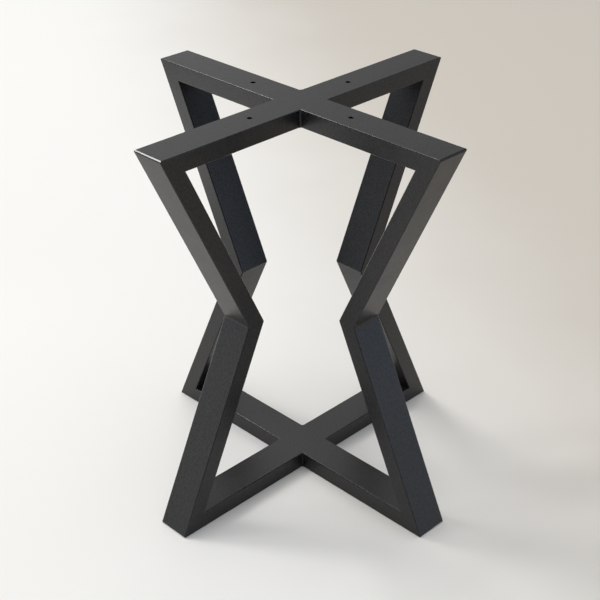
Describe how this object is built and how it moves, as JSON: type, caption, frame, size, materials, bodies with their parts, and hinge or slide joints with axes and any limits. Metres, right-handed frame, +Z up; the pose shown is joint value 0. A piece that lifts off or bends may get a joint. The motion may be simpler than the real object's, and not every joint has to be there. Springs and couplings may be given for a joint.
{
  "type": "coffee table base",
  "caption": "Welded steel coffee table base: crossed hourglass frames of rectangular tube, black powder coat, flat top for a tabletop.",
  "frame": {"origin": "on the floor, under the middle of the crossing", "axes": "+Z up; the two frames stand at 45 degrees to X and Y, so the view along +Y looks between them"},
  "size_m": [0.3172, 0.3172, 0.455],
  "materials": {
    "powder_coat": "black fine-textured powder coat, satin"
  },
  "bodies": {
    "root": {"top_through_bar": "powder_coat", "bottom_through_bar": "powder_coat", "top_half_bar_front_right": "powder_coat", "top_half_bar_back_left": "powder_coat", "bottom_half_bar_front_right": "powder_coat", "bottom_half_bar_back_left": "powder_coat", "upper_leg_front_left": "powder_coat", "upper_leg_front_right": "powder_coat", "upper_leg_back_left": "powder_coat", "upper_leg_back_right": "powder_coat", "lower_leg_front_left": "powder_coat", "lower_leg_front_right": "powder_coat", "lower_leg_back_left": "powder_coat", "lower_leg_back_right": "powder_coat", "cross_weld_top_front_right": "powder_coat", "cross_weld_top_back_left": "powder_coat", "cross_weld_bottom_front_right": "powder_coat", "cross_weld_bottom_back_left": "powder_coat", "knee_weld_front_left": "powder_coat", "knee_weld_front_right": "powder_coat", "knee_weld_back_left": "powder_coat", "knee_weld_back_right": "powder_coat"}
  },
  "joints": []
}
